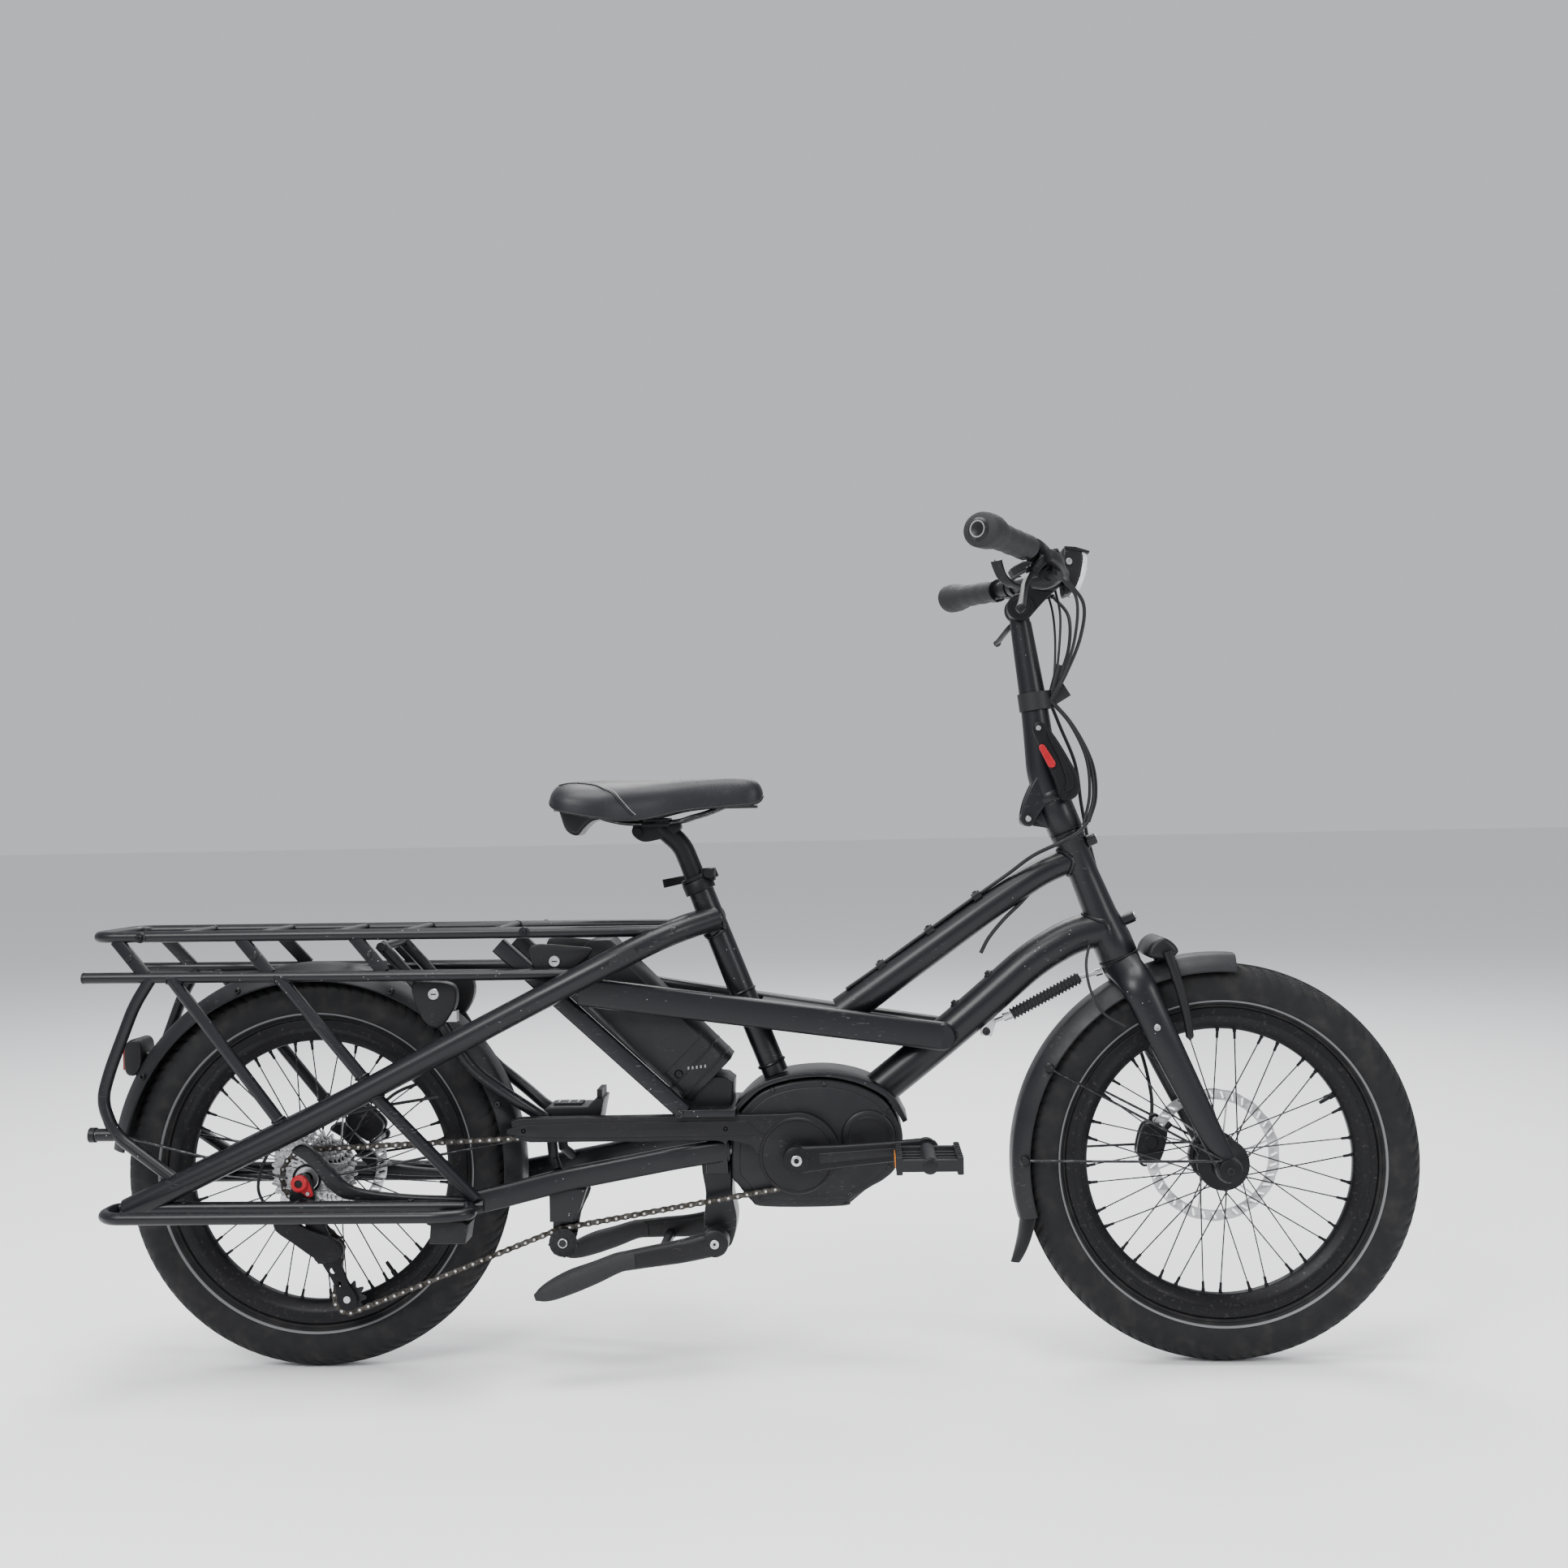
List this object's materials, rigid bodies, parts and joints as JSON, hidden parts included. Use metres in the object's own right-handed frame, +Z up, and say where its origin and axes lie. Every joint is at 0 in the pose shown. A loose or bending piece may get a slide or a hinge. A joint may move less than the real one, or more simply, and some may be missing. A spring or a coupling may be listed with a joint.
{
  "type": "long-tail cargo bicycle",
  "caption": "Long-tail electric cargo bicycle with small wheels, mid motor, folding handlepost, rear rack and foot decks.",
  "frame": {"origin": "ground point under the front axle, where a wheel stand holds the front tyre", "axes": "+X forward along the bicycle, +Y to the rider's left, +Z up"},
  "size_m": [1.7721, 0.6476, 1.0967],
  "materials": {
    "paint": "satin",
    "black_metal": "satin black",
    "rim_metal": "anodised black",
    "steel": "satin",
    "chain_steel": "oiled",
    "black_plastic": "matte",
    "motor_plastic": "matte",
    "fender_plastic": "fine grain",
    "rubber": "matte",
    "tyre": "matte",
    "saddle_cover": "smooth",
    "red": "gloss",
    "lamp": "gloss"
  },
  "bodies": {
    "frame": {"head_tube": "paint", "top_tube": "paint", "down_tube": "paint", "seat_tube": "paint", "mid_beam": "paint", "rear_diagonal_right": "paint", "rear_diagonal_left": "paint", "motor_cradle": "paint", "top_rack": "paint", "dock_frame": "paint", "pannier_rail_right": "paint", "pannier_rail_left": "paint", "foot_deck_right": "paint", "foot_deck_left": "paint", "motor": "motor_plastic", "chain_guard": "black_plastic", "rear_fender": "fender_plastic", "seat_collar": "black_metal", "rear_caliper": "black_metal", "derailleur_body": "black_metal", "chain": "chain_steel", "rear_cables": "rubber"},
    "seat_quick_release": {"seat_lever": "black_metal"},
    "seat": {"seatpost": "black_metal", "saddle": "saddle_cover"},
    "stand": {"stand_legs": "black_plastic"},
    "battery_pack": {"battery": "black_plastic"},
    "battery_button": {"power_button": "motor_plastic"},
    "crank": {"crank_right": "black_metal", "crank_left": "black_metal"},
    "sprocket": {"chainring": "steel"},
    "pedal_r": {"pedal_right": "motor_plastic"},
    "pedal_l": {"pedal_left": "motor_plastic"},
    "rear_wheel": {"rear_hub": "black_metal", "rear_rim": "rim_metal", "rear_tyre": "tyre"},
    "gears": {"cassette": "steel"},
    "tension_cage": {"derailleur_cage": "black_metal"},
    "chain_guide": {"guide_pulley": "motor_plastic"},
    "steering": {"fork": "paint", "front_fender": "fender_plastic", "front_caliper": "black_metal", "front_brake_hose": "rubber", "handlepost_lower": "paint"},
    "front_wheel": {"front_hub": "black_metal", "front_rim": "rim_metal", "front_tyre": "tyre", "front_rotor": "steel"},
    "post": {"handlepost_upper": "paint"},
    "post_lever": {"fold_lever": "black_metal"},
    "post_latch": {"fold_latch": "red"},
    "bars": {"handlebar": "black_metal", "grip_right": "rubber", "grip_left": "rubber", "control_right": "black_plastic", "control_left": "black_plastic", "headlight": "lamp"},
    "brake_r": {"brake_lever_right": "black_metal"},
    "brake_l": {"brake_lever_left": "black_metal"},
    "shifter": {"shift_lever": "black_plastic"}
  },
  "joints": [
    {"name": "steering", "type": "hinge", "parent": "frame", "child": "steering", "pos_m": [-0.1696, 0, 0.647], "axis": [-0.3633, 0, 0.9317], "range_deg": [-60, 60], "stiffness_Nm_per_rad": 6, "deforming": ["rear_cables"]},
    {"name": "post_fold", "type": "hinge", "parent": "steering", "child": "post", "pos_m": [-0.2456, 0, 0.7256], "axis": [0, -1, 0], "range_deg": [0, 80], "deforming": ["rear_cables", "front_brake_hose"]},
    {"name": "fold_lever_open", "type": "hinge", "parent": "post", "child": "post_lever", "pos_m": [-0.1986, -0.031, 0.755], "axis": [0, 1, 0], "range_deg": [0, 110]},
    {"name": "latch_slide", "type": "slide", "parent": "post_lever", "child": "post_latch", "axis": [0.519, 0, -0.8548], "range_m": [0, 0.005], "stiffness_N_per_m": 400},
    {"name": "stem_swivel", "type": "hinge", "parent": "post", "child": "bars", "pos_m": [-0.2496, 0, 1.01], "axis": [0, 1, 0], "range_deg": [-25, 25], "deforming": ["rear_cables", "front_brake_hose"]},
    {"name": "brake_right", "type": "hinge", "parent": "bars", "child": "brake_r", "pos_m": [-0.2236, -0.182, 1.028], "axis": [-0.7669, 0.6209, -0.162], "range_deg": [0, 15], "stiffness_Nm_per_rad": 3},
    {"name": "brake_left", "type": "hinge", "parent": "bars", "child": "brake_l", "pos_m": [-0.2236, 0.182, 1.028], "axis": [0.7669, 0.6209, 0.162], "range_deg": [0, 15], "stiffness_Nm_per_rad": 3},
    {"name": "shift_thumb", "type": "hinge", "parent": "bars", "child": "shifter", "pos_m": [-0.2706, -0.131, 1.018], "axis": [0, 0.6783, 0.7348], "range_deg": [0, 18], "stiffness_Nm_per_rad": 0.6},
    {"name": "front_wheel_spin", "type": "hinge", "parent": "steering", "child": "front_wheel", "pos_m": [0, 0, 0.2645], "axis": [0, 1, 0], "continuous": true},
    {"name": "rear_wheel_spin", "type": "hinge", "parent": "frame", "child": "rear_wheel", "pos_m": [-1.2156, 0, 0.2645], "axis": [0, 1, 0], "continuous": true},
    {"name": "crank_spin", "type": "hinge", "parent": "frame", "child": "crank", "pos_m": [-0.5616, 0, 0.2885], "axis": [0, 1, 0], "continuous": true},
    {"name": "chainring_spin", "type": "hinge", "parent": "frame", "child": "sprocket", "pos_m": [-0.5616, -0.05, 0.2885], "axis": [0, 1, 0], "continuous": true},
    {"name": "cassette_spin", "type": "hinge", "parent": "frame", "child": "gears", "pos_m": [-1.2156, -0.045, 0.2645], "axis": [0, 1, 0], "continuous": true},
    {"name": "guide_pulley_spin", "type": "hinge", "parent": "frame", "child": "chain_guide", "pos_m": [-0.8744, -0.05, 0.1759], "axis": [0, 1, 0], "continuous": true},
    {"name": "pedal_right_spin", "type": "hinge", "parent": "crank", "child": "pedal_r", "pos_m": [-0.3936, -0.15, 0.3015], "axis": [0, 1, 0], "continuous": true},
    {"name": "pedal_left_spin", "type": "hinge", "parent": "crank", "child": "pedal_l", "pos_m": [-0.7296, 0.15, 0.2755], "axis": [0, 1, 0], "continuous": true},
    {"name": "cage_pivot", "type": "hinge", "parent": "frame", "child": "tension_cage", "pos_m": [-1.1916, -0.058, 0.168], "axis": [0, 1, 0], "range_deg": [-20, 25], "stiffness_Nm_per_rad": 0.6, "deforming": ["chain"]},
    {"name": "seatpost_slide", "type": "slide", "parent": "frame", "child": "seat", "axis": [-0.366, 0, 0.9306], "range_m": [-0.02, 0.08]},
    {"name": "seat_lever_turn", "type": "hinge", "parent": "frame", "child": "seat_quick_release", "pos_m": [-0.6786, 0.025, 0.659], "axis": [0.366, 0, -0.9306], "range_deg": [0, 150]},
    {"name": "stand_fold", "type": "hinge", "parent": "frame", "child": "stand", "pos_m": [-0.6716, 0, 0.177], "axis": [0, -1, 0], "range_deg": [0, 95]},
    {"name": "battery_tip", "type": "hinge", "parent": "frame", "child": "battery_pack", "pos_m": [-0.7096, 0, 0.352], "axis": [0, 1, 0], "range_deg": [0, 12]},
    {"name": "power_press", "type": "slide", "parent": "battery_pack", "child": "battery_button", "axis": [0, 1, 0], "range_m": [0, 0.0015], "stiffness_N_per_m": 300}
  ],
  "couplings": [
    {"joint": "chainring_spin", "follows": "crank_spin", "ratio": 2.5},
    {"joint": "cassette_spin", "follows": "crank_spin", "ratio": 2.7778},
    {"joint": "guide_pulley_spin", "follows": "crank_spin", "ratio": -5.74}
  ]
}
